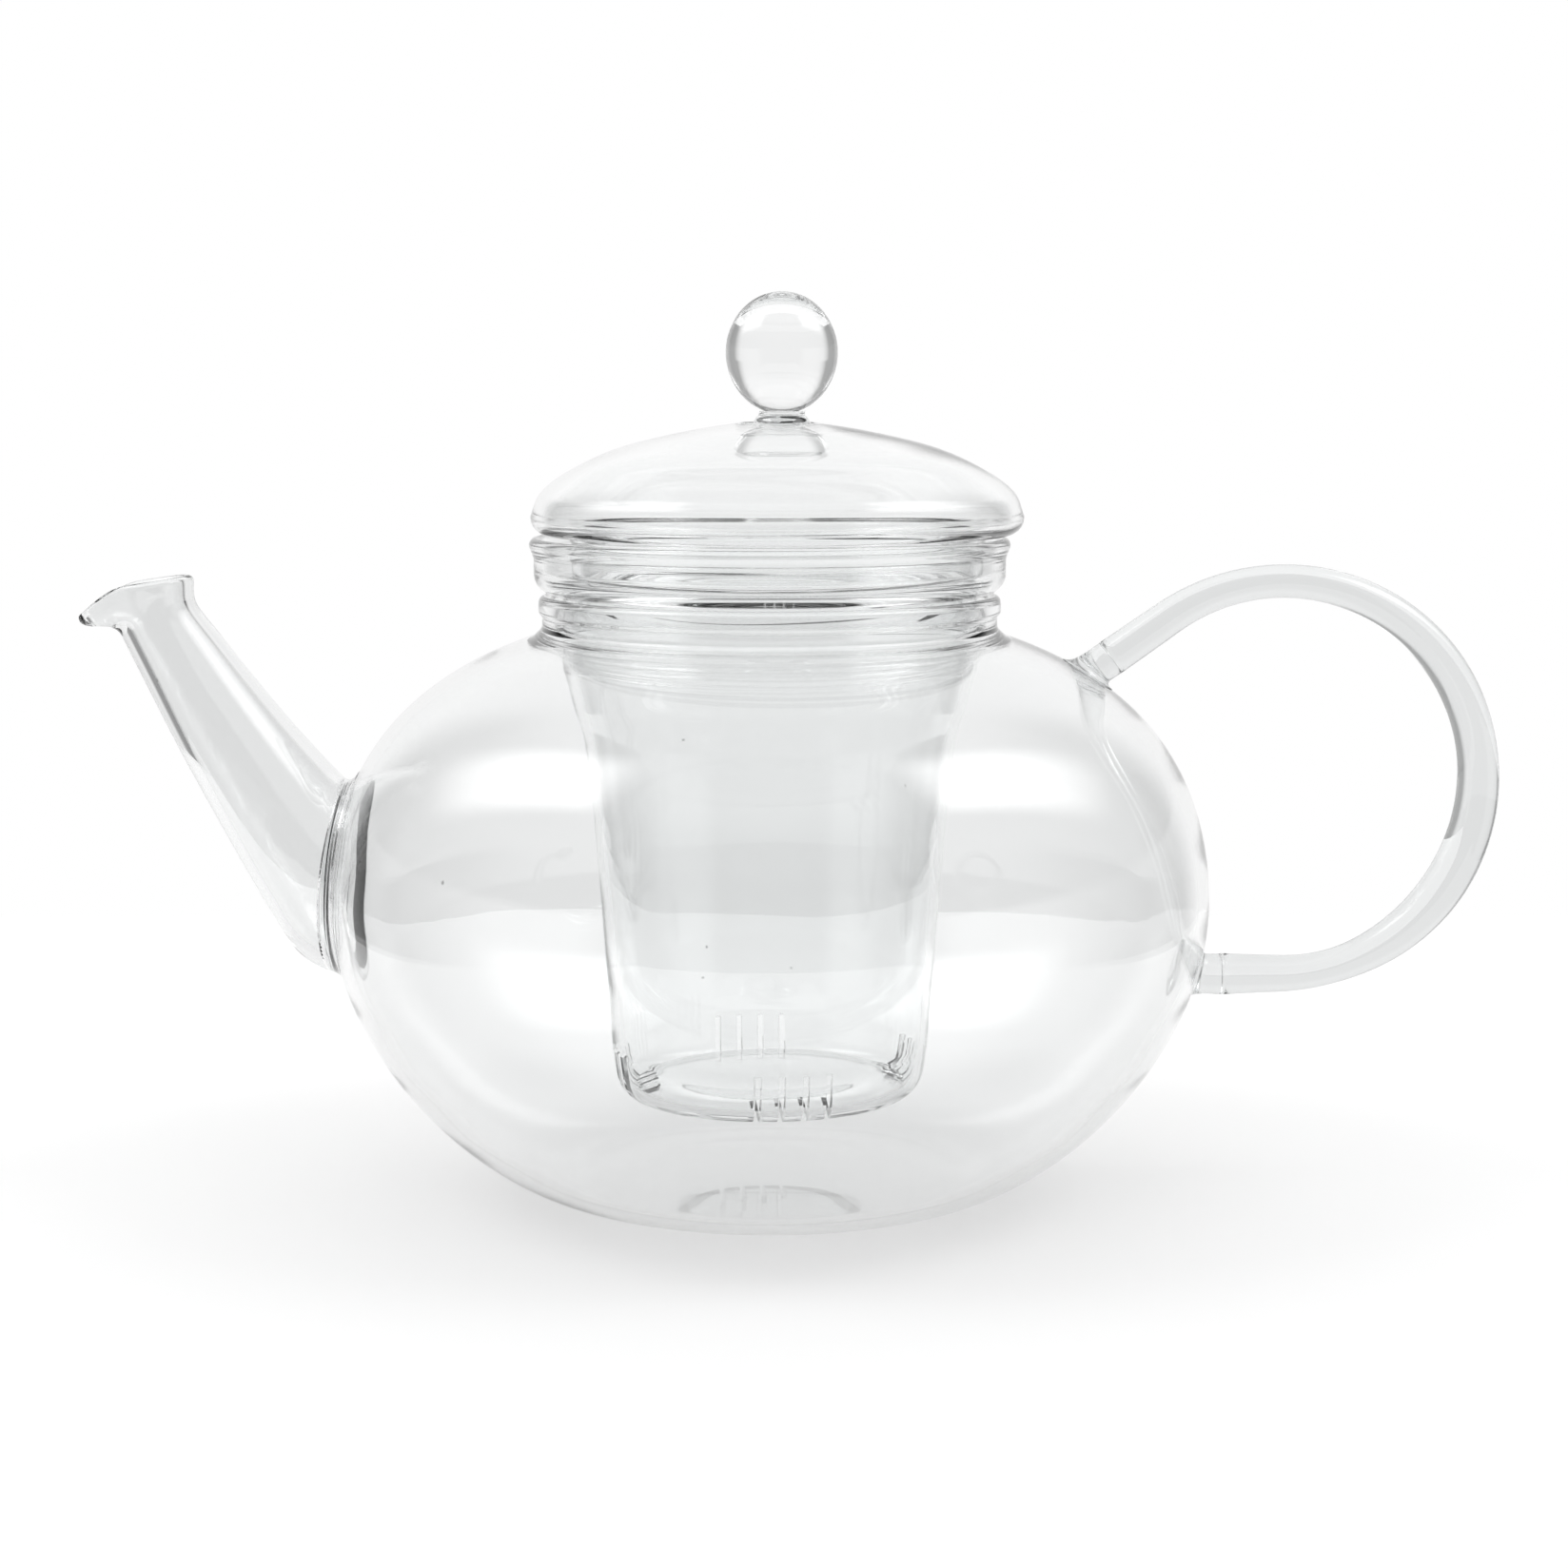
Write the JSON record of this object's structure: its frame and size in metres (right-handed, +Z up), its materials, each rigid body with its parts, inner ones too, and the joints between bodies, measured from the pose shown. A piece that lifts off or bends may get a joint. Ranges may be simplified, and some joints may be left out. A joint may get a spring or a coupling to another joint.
{
  "type": "glass teapot",
  "caption": "Clear glass teapot with tapered spout, ring handle, hanging glass infuser with a slitted cup and lift-off domed lid with ball knob.",
  "frame": {"origin": "centre of the flat base, on the surface that the pot stands on", "axes": "+Z up along the pot's axis, +X towards the handle, -X towards the spout"},
  "size_m": [0.2383, 0.1476, 0.1513],
  "materials": {
    "pot_glass": "gloss",
    "infuser_glass": "gloss",
    "lid_glass": "gloss"
  },
  "bodies": {
    "pot": {"pot_body": "pot_glass", "spout": "pot_glass", "spout_weld": "pot_glass", "handle": "pot_glass", "handle_upper_weld": "pot_glass", "handle_lower_weld": "pot_glass"},
    "infuser": {"infuser_collar": "infuser_glass", "infuser_cup": "infuser_glass"},
    "lid": {"lid_dome": "lid_glass", "lid_skirt": "lid_glass", "lid_knob_stem": "lid_glass", "lid_knob": "lid_glass"}
  },
  "joints": [
    {"name": "infuser_lift", "type": "slide", "parent": "pot", "child": "infuser", "axis": [0, 0, 1], "range_m": [0, 0.1]},
    {"name": "lid_lift", "type": "slide", "parent": "infuser", "child": "lid", "axis": [0, 0, 1], "range_m": [0, 0.06]}
  ]
}
